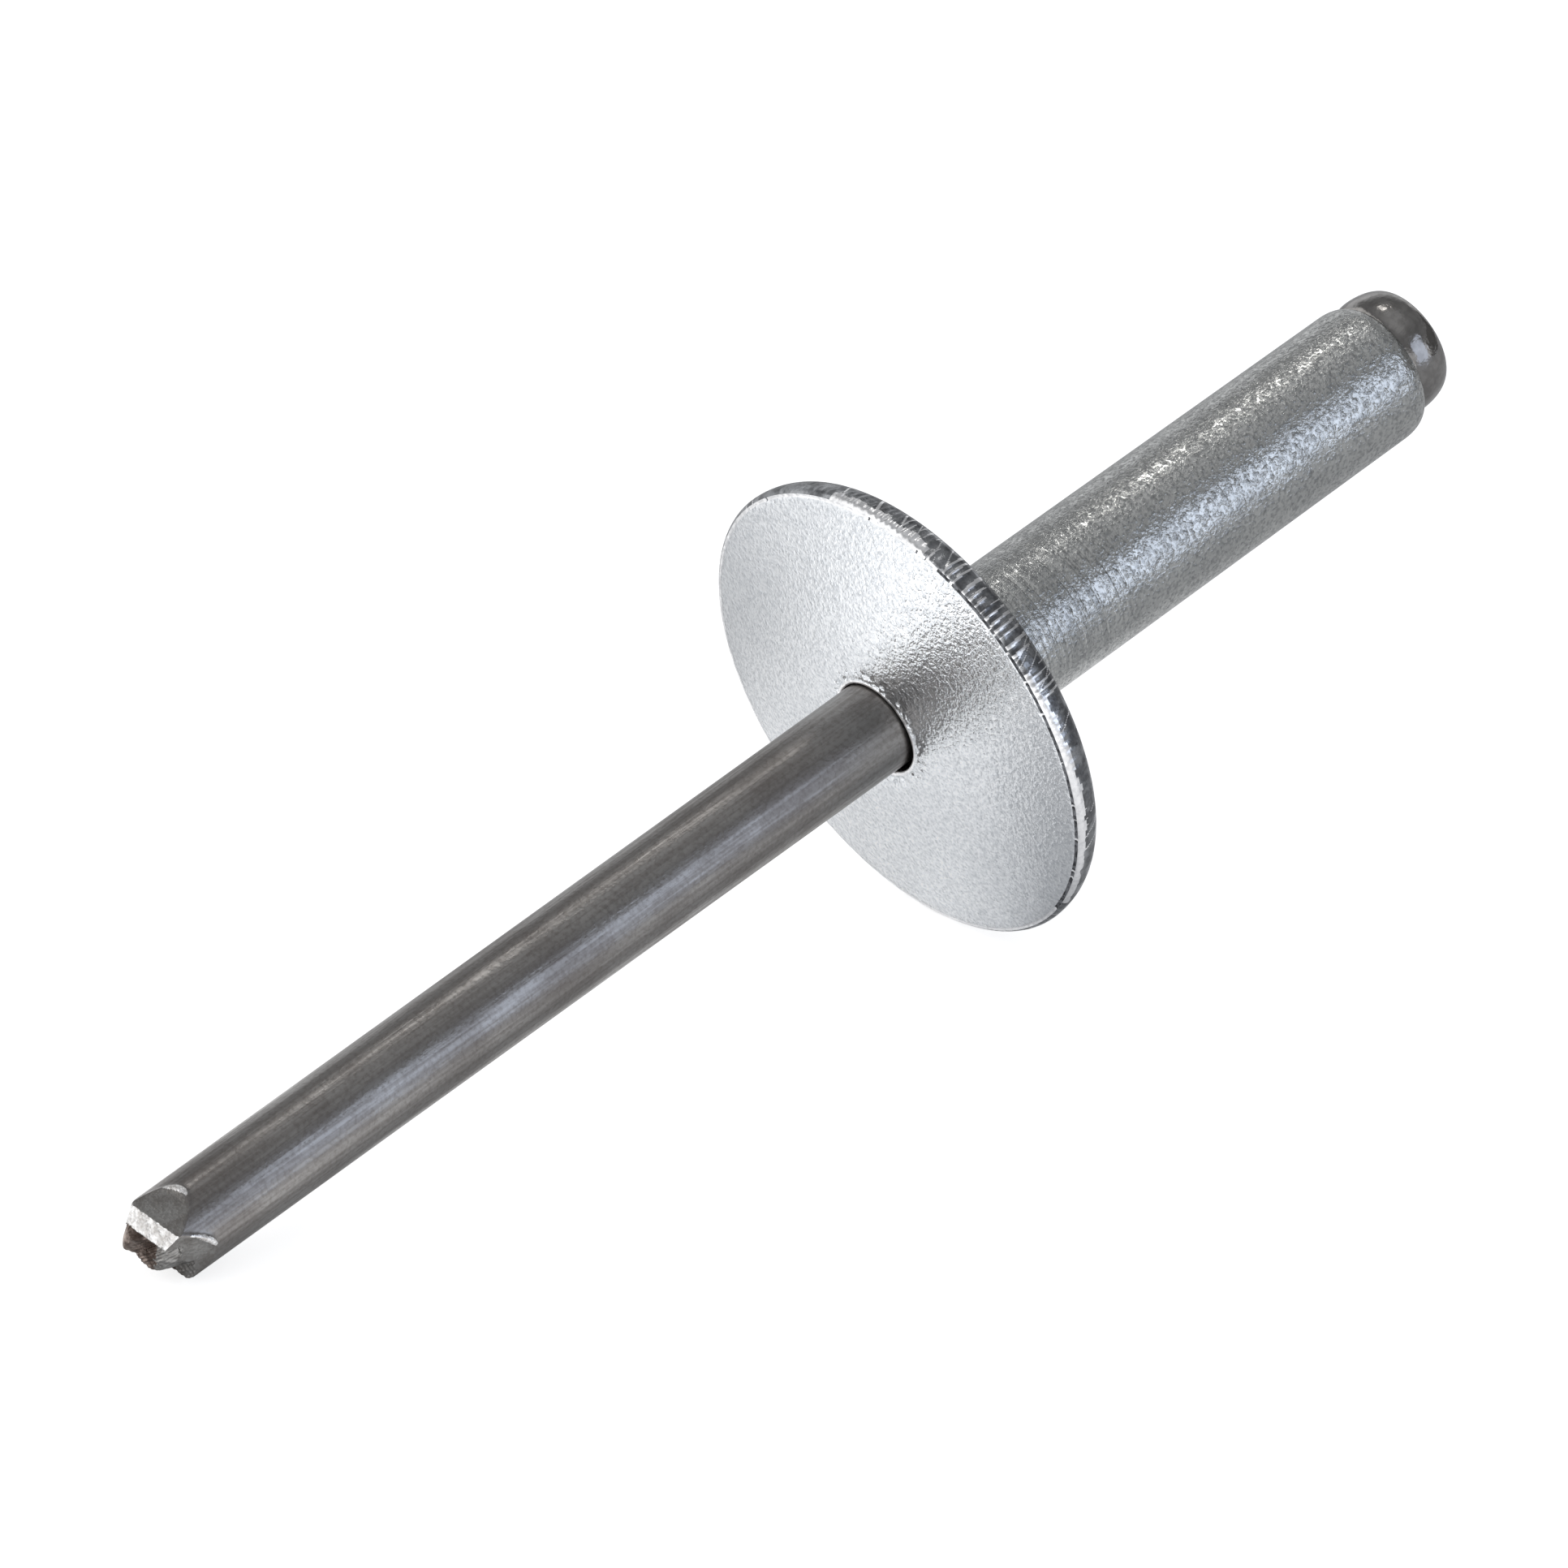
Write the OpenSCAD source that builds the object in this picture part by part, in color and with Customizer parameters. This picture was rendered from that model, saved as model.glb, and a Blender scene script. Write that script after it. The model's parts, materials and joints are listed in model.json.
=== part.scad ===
// Open-end blind rivet with a wide domed flange, not yet set, lying on its rim and its wire tip.
// Each piece is drawn about the rivet's axis, with the seat face of the flange at z = 0, the blind
// end towards +Z and the wire towards -Z. lay_down() then lays it on the ground as it comes to rest.

/* [Shank] */
// Diameter of the shank at the flange
shank_d = 4.8; // [4.6:0.1:6.4]
// Length of the shank, from the flange's seat face to the blind end
shank_l = 20; // [10:0.5:30]
// Length of the straight part of the shank, next to the flange
shank_straight_l = 4; // [2:0.5:6]
// How much smaller in diameter the shank is drawn at its blind end
shank_draw = 0.17; // [0:0.01:0.3]
// Length of the rounding at the blind end, along the shank
tail_round_l = 0.7; // [0.3:0.05:1.2]
// Depth of the rounding at the blind end, into the wall
tail_round_w = 0.28; // [0.1:0.02:0.34]

/* [Flange] */
// Diameter of the flange over its rim
flange_d = 16; // [12:0.5:18]
// Height of the flange at the bore, from its seat face to the top of the dome
flange_h = 2.13; // [1.8:0.05:2.6]
// Height of the rim, from the seat face to the sharp edge of the domed face
rim_h = 1.16; // [0.9:0.05:1.5]
// Radius of the rim's rounding next to the domed face
rim_front_r = 0.3; // [0.15:0.05:0.45]
// Degrees of that rounding between the sharp edge and the widest part of the rim
rim_front_turn = 55; // [35:5:80]
// Depth of the long rounding at the back of the rim, inwards from the widest part
rim_back_w = 0.66; // [0.3:0.02:1.2]
// Radius of the fillet between the seat face and the shank
root_r = 0.3; // [0.1:0.05:0.5]

/* [Bore] */
// Difference in diameter between the bore and the wire
bore_clearance = 0.17; // [0.13:0.01:0.3]
// Radius of the rolled edge of the bore in the domed face
bore_mouth_r = 0.1; // [0.05:0.01:0.2]
// Size of the broken edge of the bore in the blind end
bore_tail_break = 0.1; // [0.05:0.01:0.15]

/* [Mandrel wire] */
// Diameter of the wire
wire_d = 3; // [2.4:0.05:3.2]
// Length of wire that stands out of the domed face, to the end of its tip
wire_out_l = 32.12; // [24:0.5:40]
// How far the wire lies to one side of the bore
wire_shift = 0.06; // [0:0.01:0.06]
// Direction in which the wire and its head lie off the axis, in degrees from straight down
shift_turn = 136; // [0:4:360]

/* [Mandrel head] */
// Step in from the edge of the blind end to the head's widest part
head_step = 0.27; // [0.2:0.01:0.34]
// Width of the head's bearing face outside the bore
head_bearing_w = 0.28; // [0.15:0.01:0.32]
// Height of the head's widest part over the blind end
head_waist_h = 0.45; // [0.3:0.05:0.7]
// Height of the head over the blind end, without its crown
head_h = 1.5; // [1.2:0.05:2]
// How much the head draws in from its widest part to its end
head_round_w = 0.44; // [0.2:0.02:0.8]
// Height of the slight crown on the head's end
head_crown_h = 0.08; // [0.02:0.02:0.2]
// How far the head was upset to one side of the wire
head_shift = 0.1; // [0:0.02:0.14]

/* [Break notch] */
// Distance from the head to the middle of the break notch, inside the bore
notch_at = 2.4; // [2:0.1:4]
// Depth to which each side of the wire is pressed in
notch_depth = 0.55; // [0.3:0.05:0.8]
// Angle between the two flanks of the notch
notch_angle = 80; // [60:5:100]

/* [Wire tip] */
// Angle of each of the four pinched facets to the wire's axis
pinch_angle = 22.6; // [18:0.2:30]
// Width between opposite facets at the end of the tip
pinch_end_w = 1.34; // [1:0.02:1.6]
// Turn of the facets about the axis, in degrees from straight down
pinch_turn = 11; // [0:1:45]
// Height over the end at which the torn strip leaves the upper facet
torn_h = 0.5; // [0.3:0.05:0.7]
// Angle of the torn strip to the wire's axis
torn_angle = 45; // [40:1:55]
// Slant of the torn end across the tip
torn_slant = 6; // [0:1:10]

/* [Hidden] */
$fn = 96;
aluminium = "#c6c9cc";
steel = "#5f6063";

shank_r = shank_d / 2;
tail_r = (shank_d - shank_draw) / 2;
flange_r = flange_d / 2;
wire_r = wire_d / 2;
bore_r = (wire_d + bore_clearance) / 2;
mouth_r = bore_r + bore_mouth_r;

// Sharp edge of the domed face, and the middle of the rounding that leads from it to the widest part
face_edge_r = flange_r - rim_front_r * (1 - cos(rim_front_turn));
rim_mid = [flange_r - rim_front_r, rim_front_r * sin(rim_front_turn) - rim_h];

// The dome belongs to the sphere through the mouth of the bore and the sharp edge of the face
dome_rise = flange_h - rim_h;
dome_edge_h = ((pow(face_edge_r, 2) - pow(mouth_r, 2)) / dome_rise - dome_rise) / 2;
dome_r = norm([dome_edge_h, face_edge_r]);
dome_mid = [0, dome_edge_h - rim_h];

// The head passes through the same drilled hole as the shank, and bears on its blind end
head_r = tail_r - head_step;
head_end_r = head_r - head_round_w;
bearing_r = bore_r + head_bearing_w;
shift_dir = [cos(shift_turn), sin(shift_turn), 0];

// End of the tip, and where the torn strip starts
tip_z = -flange_h - wire_out_l;
pinch_end_r = pinch_end_w / 2;
torn_r = pinch_end_r + torn_h * tan(pinch_angle);

// At rest the ground touches the rounding of the rim and the edge of the facet under the wire.
// Where that edge is lowest, when the rivet leans so far: its turn about the wire's own axis
function low_turn(lean) = max(pinch_turn - 45,
    -atan(tan(lean) * sin(pinch_turn) / (tan(pinch_angle) - tan(lean) * cos(pinch_turn))));
// The same point, as its distance under the rivet's axis and its place along it
function low_point(lean) = [
    wire_r * cos(low_turn(lean)) + wire_shift * cos(shift_turn),
    tip_z + (wire_r * cos(low_turn(lean) - pinch_turn) - pinch_end_r) / tan(pinch_angle)
];
// The lean at which rim and wire touch the same flat ground, found in a few rounds
function rest_lean(lean, rounds) =
    let (span = rim_mid - low_point(lean))
    let (found = atan2(span[0], span[1]) + asin(rim_front_r / norm(span)))
    rounds == 0 ? found : rest_lean(found, rounds - 1);
rest_tilt = rest_lean(12, 3);
rest_low = low_point(rest_tilt);
rest_lift = rest_low[0] * cos(rest_tilt) - rest_low[1] * sin(rest_tilt);
back_x = (shank_l + head_h) * cos(rest_tilt) + head_end_r * sin(rest_tilt);
front_x = tip_z * cos(rest_tilt);

// Lays a piece down with its blind end raised towards +X, on the ground at z = 0
module lay_down() {
    translate([-(back_x + front_x) / 2, 0, rest_lift])
        rotate([0, 90 - rest_tilt, 0])
            children();
}

// Points on an arc about mid, or on an ellipse where the radii across and along the axis differ
function arc(mid, radii, from, to, steps) = [
    for (i = [0:steps])
        let (a = from + (to - from) * i / steps)
            mid + [radii[0] * cos(a), radii[1] * sin(a)]
];

// Half section of the body: mouth of the bore, dome, rim, seat face, shank and blind end
module body_section() {
    polygon(concat(
        arc([mouth_r, bore_mouth_r - flange_h], [bore_mouth_r, bore_mouth_r], 180, 270, 5),
        arc(dome_mid, [dome_r, dome_r], -acos(mouth_r / dome_r), -acos(face_edge_r / dome_r), 12),
        arc(rim_mid, [rim_front_r, rim_front_r], -rim_front_turn, 0, 6),
        arc([flange_r - rim_back_w, rim_mid[1]], [rim_back_w, -rim_mid[1]], 0, 90, 10),
        arc([shank_r + root_r, root_r], [root_r, root_r], 270, 180, 6),
        [[shank_r, shank_straight_l]],
        arc([tail_r - tail_round_w, shank_l - tail_round_l], [tail_round_w, tail_round_l], 0, 90, 8),
        [[bore_r + bore_tail_break, shank_l], [bore_r, shank_l - bore_tail_break]]
    ));
}

// Half section of the button head that the wire is upset into
module head_section() {
    waist = [bearing_r, shank_l + head_waist_h];
    shoulder = [head_end_r, waist[1]];
    polygon(concat(
        [[0, shank_l]],
        arc(waist, [head_r - bearing_r, head_waist_h], -90, 0, 6),
        arc(shoulder, [head_round_w, head_h - head_waist_h], 0, 90, 10),
        [[head_end_r / 2, shank_l + head_h + head_crown_h * 3 / 4]],
        [[0, shank_l + head_h + head_crown_h]]
    ));
}

// A block whose near face passes through the point and leans away from the axis going up
module cut_beside(r, z, lean) {
    translate([r, 0, z])
        rotate([0, lean, 0])
            translate([0, -wire_d, -wire_d])
                cube([wire_d * 2, wire_d * 2, wire_d * 4]);
}

// What the pinching jaws press away on four sides, and what tears off when the wire parts
module tip_waste() {
    for (side = [0:3])
        rotate(pinch_turn + 90 * side)
            cut_beside(pinch_end_r, tip_z, pinch_angle);
    rotate(pinch_turn + 180)
        cut_beside(torn_r, tip_z + torn_h, torn_angle);
    rotate(pinch_turn)
        translate([pinch_end_r, 0, tip_z])
            rotate([0, torn_slant, 0])
                translate([-wire_d * 2, -wire_d, -wire_d])
                    cube([wire_d * 4, wire_d * 2, wire_d]);
}

// Two opposed grooves across the wire, where it breaks when the rivet is set
module notch_waste() {
    open_w = wire_r * tan(notch_angle / 2);
    for (side = [0, 180])
        rotate(side)
            translate([wire_r - notch_depth, wire_r, shank_l - notch_at])
                rotate([90, 0, 0])
                    linear_extrude(height = wire_d)
                        polygon([[0, 0], [wire_r, -open_w], [wire_r, open_w]]);
}

module rivet_body() {
    color(aluminium) lay_down() rotate_extrude() body_section();
}

module mandrel() {
    color(steel) lay_down() translate(wire_shift * shift_dir) {
        difference() {
            translate([0, 0, tip_z])
                cylinder(r = wire_r, h = shank_l + head_waist_h - tip_z);
            tip_waste();
            notch_waste();
        }
        translate(head_shift * shift_dir)
            rotate_extrude()
                head_section();
    }
}

rivet_body();
mandrel();
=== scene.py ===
"""Looks of an open-end blind rivet that is not yet set, lying on its flange rim and its wire tip.

The aluminium body and the steel mandrel are meshed about the rivet's own axis, with the seat face of
the flange at z = 0, the blind end towards +z and the wire towards -z, in millimetres. Stance then lays
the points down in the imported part's frame, in metres.
"""

import json
import logging
import math
from dataclasses import dataclass
from enum import Enum, IntEnum

import bpy
import numpy as np
from mathutils import Matrix, Vector

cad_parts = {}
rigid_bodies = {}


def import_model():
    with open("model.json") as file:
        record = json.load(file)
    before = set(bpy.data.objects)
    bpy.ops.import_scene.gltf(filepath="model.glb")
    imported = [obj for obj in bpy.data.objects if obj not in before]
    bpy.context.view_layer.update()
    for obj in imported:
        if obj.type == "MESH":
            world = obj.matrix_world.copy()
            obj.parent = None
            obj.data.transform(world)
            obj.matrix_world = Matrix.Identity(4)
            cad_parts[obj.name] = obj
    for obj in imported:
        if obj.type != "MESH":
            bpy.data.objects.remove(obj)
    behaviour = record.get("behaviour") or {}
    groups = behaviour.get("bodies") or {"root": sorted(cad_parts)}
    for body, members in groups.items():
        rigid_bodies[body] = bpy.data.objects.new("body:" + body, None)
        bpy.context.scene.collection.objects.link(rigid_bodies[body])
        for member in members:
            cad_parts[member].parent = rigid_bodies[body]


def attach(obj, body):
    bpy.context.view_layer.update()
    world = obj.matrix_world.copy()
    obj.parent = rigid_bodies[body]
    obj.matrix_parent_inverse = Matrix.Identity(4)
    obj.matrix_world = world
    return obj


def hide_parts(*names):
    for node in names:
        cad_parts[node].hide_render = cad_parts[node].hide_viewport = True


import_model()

log = logging.getLogger("blind_rivet")

MM = 0.001
MICRON = 1e-6
TURN = 2 * math.pi
SENSOR_MM = 36.0


# ---------------------------------------------------------------- sizes and placing


@dataclass(frozen=True)
class Sizes:
    """Sizes of the rivet in millimetres and degrees, as the part's source gives them."""

    shank_r: float = 2.4
    tail_r: float = 2.315
    shank_l: float = 20.0
    straight_l: float = 4.0
    tail_round_l: float = 0.7
    tail_round_w: float = 0.28
    flange_r: float = 8.0
    flange_h: float = 2.13
    rim_h: float = 1.16
    rim_front_r: float = 0.3
    rim_front_turn: float = 55.0
    rim_back_w: float = 0.66
    root_r: float = 0.3
    bore_r: float = 1.585
    mouth_round_r: float = 0.1
    tail_break: float = 0.1
    wire_r: float = 1.5
    wire_out_l: float = 32.12
    wire_shift: float = 0.06
    shift_turn: float = 136.0
    head_r: float = 2.045
    bearing_r: float = 1.865
    head_waist_h: float = 0.45
    head_h: float = 1.5
    head_end_r: float = 1.605
    head_crown_h: float = 0.08
    head_shift: float = 0.1
    notch_at: float = 2.4
    notch_depth: float = 0.55
    notch_angle: float = 80.0
    pinch_angle: float = 22.6
    pinch_end_r: float = 0.67
    pinch_turn: float = 11.0
    torn_angle: float = 45.0

    @property
    def face_edge_r(self) -> float:
        """Radius of the sharp edge of the domed face."""
        return self.flange_r - self.rim_front_r * (1 - math.cos(math.radians(self.rim_front_turn)))

    @property
    def rim_mid(self) -> tuple[float, float]:
        """Middle (r, z) of the rounding between the face's edge and the widest part."""
        rise = self.rim_front_r * math.sin(math.radians(self.rim_front_turn))
        return self.flange_r - self.rim_front_r, rise - self.rim_h

    @property
    def mouth_r(self) -> float:
        """Radius at which the domed face meets the rolled edge of the bore."""
        return self.bore_r + self.mouth_round_r

    @property
    def tip_z(self) -> float:
        """Height of the end of the wire."""
        return -self.flange_h - self.wire_out_l

    @property
    def pinch_start_z(self) -> float:
        """Height at which the pinched facets leave the full round."""
        return self.tip_z + (self.wire_r - self.pinch_end_r) / math.tan(math.radians(self.pinch_angle))

    @property
    def wire_mid(self) -> tuple[float, float]:
        """Place (x, y) of the wire's own axis in the bore."""
        turn = math.radians(self.shift_turn)
        return self.wire_shift * math.cos(turn), self.wire_shift * math.sin(turn)

    @property
    def head_mid(self) -> tuple[float, float]:
        """Place (x, y) of the head's middle, from the wire's own axis."""
        turn = math.radians(self.shift_turn)
        return self.head_shift * math.cos(turn), self.head_shift * math.sin(turn)


class Stance:
    """How the rivet lies on the ground, worked out from its sizes as the part's source does."""

    def __init__(self, s: Sizes) -> None:
        """Finds the tilt and the place of the axis.

        Args:
            s: Sizes of the rivet.
        """
        tilt = math.radians(12)
        for _ in range(4):
            low, low_z = self.low_point(s, tilt)
            across, along = s.rim_mid[0] - low, s.rim_mid[1] - low_z
            tilt = math.atan2(across, along) + math.asin(s.rim_front_r / math.hypot(across, along))
        sin, cos = math.sin(tilt), math.cos(tilt)
        low, low_z = self.low_point(s, tilt)
        back = (s.shank_l + s.head_h) * cos + s.head_end_r * sin
        self.origin = np.array([-(back + s.tip_z * cos) / 2, 0.0, low * cos - low_z * sin])
        self.axes = np.array([[sin, 0, -cos], [0, 1, 0], [cos, 0, sin]])

    @staticmethod
    def low_point(s: Sizes, lean: float) -> tuple[float, float]:
        """Finds the point of the wire's tip that touches the ground.

        Args:
            s: Sizes of the rivet.
            lean: How far the rivet leans, in radians.

        Returns:
            Its distance under the axis and its place along it.
        """
        turn, slope = math.radians(s.pinch_turn), math.tan(math.radians(s.pinch_angle))
        at = -math.atan(math.tan(lean) * math.sin(turn) / (slope - math.tan(lean) * math.cos(turn)))
        along = s.tip_z + (s.wire_r * math.cos(at - turn) - s.pinch_end_r) / slope
        return s.wire_r * math.cos(at) + s.wire_mid[0], along

    def lay(self, points: np.ndarray) -> np.ndarray:
        """Lays points down on the ground.

        Args:
            points: An (n, 3) array about the rivet's axis, in millimetres.

        Returns:
            The same points in the part's frame, in metres.
        """
        return (points @ self.axes + self.origin) * MM

    def axis_frame(self) -> Matrix:
        """Finds the way back from the ground.

        Returns:
            The matrix that takes the part's frame, in metres, to the axis frame, in millimetres.
        """
        back = Matrix((self.axes / MM).tolist()).to_4x4()
        back.translation = Vector(-(self.axes @ self.origin))
        return back


def arc(mid: tuple[float, float], radii: tuple[float, float], start: float, end: float, steps: int) -> list:
    """Points on an arc or an ellipse.

    Args:
        mid: Its middle (r, z).
        radii: Its radii across and along the axis.
        start: First angle in degrees.
        end: Last angle in degrees.
        steps: Number of steps between them.

    Returns:
        The (r, z) points in order.
    """
    turns = np.radians(np.linspace(start, end, steps + 1))
    return [(mid[0] + radii[0] * math.cos(a), mid[1] + radii[1] * math.sin(a)) for a in turns]


def ripple(u: np.ndarray, v: np.ndarray, cells: tuple[int, int], seed: int) -> np.ndarray:
    """Smooth random heights that close on themselves along u.

    Args:
        u: Place round the axis, 0 to 1.
        v: Place across, 0 to 1.
        cells: Number of cells of the random lattice along u and v.
        seed: Seed of the lattice.

    Returns:
        Heights from -1 to 1, in the shape of u and v broadcast together.
    """
    grid = np.random.default_rng(seed).uniform(-1, 1, (cells[0], cells[1] + 1))
    a, b = (u % 1.0) * cells[0], np.clip(v, 0, 1) * cells[1]
    i, j = np.floor(a).astype(int) % cells[0], np.minimum(np.floor(b).astype(int), cells[1] - 1)
    fa, fb = a - np.floor(a), b - j
    fa, fb = fa * fa * (3 - 2 * fa), fb * fb * (3 - 2 * fb)
    k = (i + 1) % cells[0]
    low = grid[i, j] * (1 - fa) + grid[k, j] * fa
    high = grid[i, j + 1] * (1 - fa) + grid[k, j + 1] * fa
    return low * (1 - fb) + high * fb


def bell(x: np.ndarray, mid: float, width: float) -> np.ndarray:
    """A smooth bump of height 1 at mid, about width wide at half its height."""
    return np.exp(-(((x - mid) / (0.6 * width)) ** 2))


# ---------------------------------------------------------------- finishes


def linear(colour: str) -> tuple[float, float, float, float]:
    """Turns a colour as written into Blender's linear values.

    Args:
        colour: sRGB hex, such as "#c8cacc".

    Returns:
        Linear red, green, blue and an alpha of 1.
    """
    parts = [int(colour[i : i + 2], 16) / 255 for i in (1, 3, 5)]
    flat = [c / 12.92 if c <= 0.04045 else ((c + 0.055) / 1.055) ** 2.4 for c in parts]
    return flat[0], flat[1], flat[2], 1.0


def add(
    tree: bpy.types.NodeTree, kind: str, settings: dict | None = None, links: dict | None = None
) -> bpy.types.Node:
    """Adds a node with its settings and links.

    Args:
        tree: The tree that it goes into.
        kind: The node's type name.
        settings: Values by name, of the node's own properties or else of its inputs.
        links: Sockets that feed its inputs, by the input's name or number.

    Returns:
        The new node.
    """
    node = tree.nodes.new(kind)
    for name, value in (settings or {}).items():
        if isinstance(name, str) and hasattr(node, name):
            setattr(node, name, value)
        else:
            node.inputs[name].default_value = value
    for name, socket in (links or {}).items():
        tree.links.new(socket, node.inputs[name])
    return node


class Lay(Enum):
    """Which way the marks of a pattern run on the rivet."""

    EVEN = (1.0, 1.0, 1.0)
    ALONG_AXIS = (1.0, 1.0, 0.02)
    ROUND_AXIS = (0.03, 0.03, 1.0)


@dataclass(frozen=True)
class Marks:
    """One layer of marks in a metal surface.

    Attributes:
        size_mm: Size of one mark, across the way it runs.
        lay: Which way the marks run.
        depth_um: Depth of the relief in micrometres.
        tint: How far the marks go towards the finish's dark colour, 0 to 1.
        rough: How much the marks add to the roughness.
        band: Lowest and highest noise value that the layer spreads over 0 to 1.
        detail: Octaves of finer marks within it.
        seed: Shift of the pattern, so that layers differ.
        span: Heights along the axis at which the layer is full and at which it has faded out, or None.
    """

    size_mm: float
    lay: Lay = Lay.EVEN
    depth_um: float = 0.0
    tint: float = 0.0
    rough: float = 0.0
    band: tuple[float, float] = (0.35, 0.65)
    detail: float = 2.0
    seed: float = 0.0
    span: tuple[float, float] | None = None


@dataclass(frozen=True)
class MetalFinish:
    """A bare metal surface, named for its metal and how it was worked.

    Attributes:
        name: Name of the material.
        colour: Its colour where it is cleanest, sRGB hex.
        dark: Its colour in the marks, sRGB hex.
        roughness: Roughness between the marks.
        layers: The layers of marks, from coarse to fine.
    """

    name: str
    colour: str
    dark: str
    roughness: float
    layers: tuple[Marks, ...]

    def material(self, stance: Stance) -> bpy.types.Material:
        """Makes the node material.

        Args:
            stance: How the rivet lies, for patterns that follow its axis.

        Returns:
            The new material.
        """
        made = bpy.data.materials.new(self.name)
        made.use_nodes = True
        tree = made.node_tree
        tree.nodes.clear()
        place = add(tree, "ShaderNodeTexCoord").outputs["Object"]
        axis = stance.axis_frame()
        turned = add(
            tree,
            "ShaderNodeMapping",
            {
                "vector_type": "POINT",
                "Location": axis.translation,
                "Rotation": axis.to_3x3().normalized().to_euler(),
                "Scale": (1 / MM,) * 3,
            },
            {"Vector": place},
        ).outputs["Vector"]
        up = add(tree, "ShaderNodeSeparateXYZ", links={0: turned}).outputs["Z"]
        colour = rough = height = None
        for marks in self.layers:
            scaled = add(
                tree,
                "ShaderNodeMapping",
                {"Location": (marks.seed, -marks.seed, marks.seed), "Scale": marks.lay.value},
                {"Vector": turned},
            ).outputs["Vector"]
            noise = add(
                tree,
                "ShaderNodeTexNoise",
                {"Scale": 0.5 / marks.size_mm, "Detail": marks.detail, "Roughness": 0.55},
                {"Vector": scaled},
            ).outputs["Fac"]
            spread = add(
                tree,
                "ShaderNodeMapRange",
                {"interpolation_type": "SMOOTHSTEP", "From Min": marks.band[0], "From Max": marks.band[1]},
                {"Value": noise},
            ).outputs["Result"]
            if marks.span:
                ends = {"From Min": marks.span[0], "From Max": marks.span[1], "To Min": 1.0, "To Max": 0.0}
                fade = add(
                    tree, "ShaderNodeMapRange", {"interpolation_type": "SMOOTHSTEP", **ends}, {"Value": up}
                ).outputs["Result"]
                spread = add(tree, "ShaderNodeMath", {"operation": "MULTIPLY"}, {0: spread, 1: fade}).outputs[0]
            if marks.tint:
                factor = add(tree, "ShaderNodeMath", {"operation": "MULTIPLY", 1: marks.tint}, {0: spread}).outputs[0]
                links = {"Factor": factor}
                settings = {"data_type": "RGBA", 7: linear(self.dark)}
                if colour is None:
                    settings[6] = linear(self.colour)
                else:
                    links[6] = colour
                colour = add(tree, "ShaderNodeMix", settings, links).outputs[2]
            if marks.rough:
                links = {0: spread}
                settings = {"operation": "MULTIPLY_ADD", 1: marks.rough, 2: self.roughness}
                if rough is not None:
                    links[2] = rough
                rough = add(tree, "ShaderNodeMath", settings, links).outputs[0]
            if marks.depth_um:
                links = {"Height": spread}
                if height is not None:
                    links["Normal"] = height
                relief = {"Strength": 1.0, "Distance": marks.depth_um * MICRON}
                height = add(tree, "ShaderNodeBump", relief, links).outputs["Normal"]
        shader = add(
            tree,
            "ShaderNodeBsdfPrincipled",
            {"Base Color": linear(self.colour), "Metallic": 1.0, "Roughness": self.roughness},
            {
                name: socket
                for name, socket in (("Base Color", colour), ("Roughness", rough), ("Normal", height))
                if socket is not None
            },
        )
        add(tree, "ShaderNodeOutputMaterial", links={"Surface": shader.outputs["BSDF"]})
        return made


# Aluminium, cold-headed and tumbled: the die and the tumbling leave a fine frost of tiny dents, so the
# face is pale and grainy and still mirrors the wire, softly. The real frost is finer than a pixel, so it
# is drawn at 0.05 to 0.08 mm.
FROSTED_ALUMINIUM = MetalFinish(
    "frosted_aluminium",
    "#f0f2f4",
    "#a0a6ad",
    0.17,
    (
        Marks(1.1, tint=0.08, rough=0.03, detail=3.0, seed=3.0),
        Marks(0.08, tint=0.3, depth_um=11.0, band=(0.35, 0.7), seed=11.0),
        Marks(0.05, tint=0.45, rough=0.08, depth_um=5.0, band=(0.4, 0.75), seed=12.0),
    ),
)

# Aluminium, drawn over the die's edge and rubbed by tumbling: burnished, so it mirrors dark and white.
BURNISHED_ALUMINIUM = MetalFinish(
    "burnished_aluminium",
    "#fafafb",
    "#7c7f84",
    0.26,
    (
        Marks(0.5, tint=0.15, rough=0.08, detail=3.0, seed=5.0),
        Marks(0.1, tint=0.3, rough=0.1, depth_um=5.0, band=(0.45, 0.75), detail=3.0, seed=17.0),
    ),
)

# Aluminium, split where it folds over the die's edge: a fine crack, painted dark grey to black as the shade in its
# groove.
CRACK_PAINTED_SHADE = MetalFinish(
    "crack_painted_shade",
    "#84868a",
    "#2c2d30",
    0.5,
    (Marks(0.1, tint=0.9, depth_um=20.0, detail=3.0, seed=53.0),),
)

# Aluminium, folded over at the rim: the outer rim is painted darker than the face, a painted dark reflection,
# and blotchy with its own grain.
RIM_PAINTED_DARK_ALUMINIUM = MetalFinish(
    "rim_painted_dark_reflection",
    "#a2a4a7",
    "#3a3b3e",
    0.26,
    (
        Marks(0.3, tint=0.7, rough=0.1, detail=3.0, seed=57.0),
        Marks(0.07, tint=0.35, depth_um=8.0, band=(0.4, 0.75), detail=3.0, seed=59.0),
    ),
)

# Aluminium, impact extruded and tumbled against its fellows: a bright tube, dented all over by tiny
# knocks that scatter what it mirrors, with fine rings near the flange. The knocks are drawn at 0.06 to
# 0.1 mm, as coarse as they need to be to show.
DRAWN_ALUMINIUM = MetalFinish(
    "drawn_aluminium",
    "#cbccca",
    "#6a6d70",
    0.17,
    (
        Marks(0.8, tint=0.12, rough=0.06, detail=4.0, seed=7.0),
        Marks(0.1, tint=0.3, depth_um=17.0, band=(0.42, 0.75), detail=3.0, seed=13.0),
        Marks(0.06, tint=0.5, depth_um=6.0, rough=0.08, band=(0.42, 0.68), detail=2.0, seed=15.0),
        Marks(0.08, lay=Lay.ROUND_AXIS, depth_um=12.0, tint=0.25, band=(0.42, 0.65), seed=19.0, span=(5.5, 9.0)),
    ),
)

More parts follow.
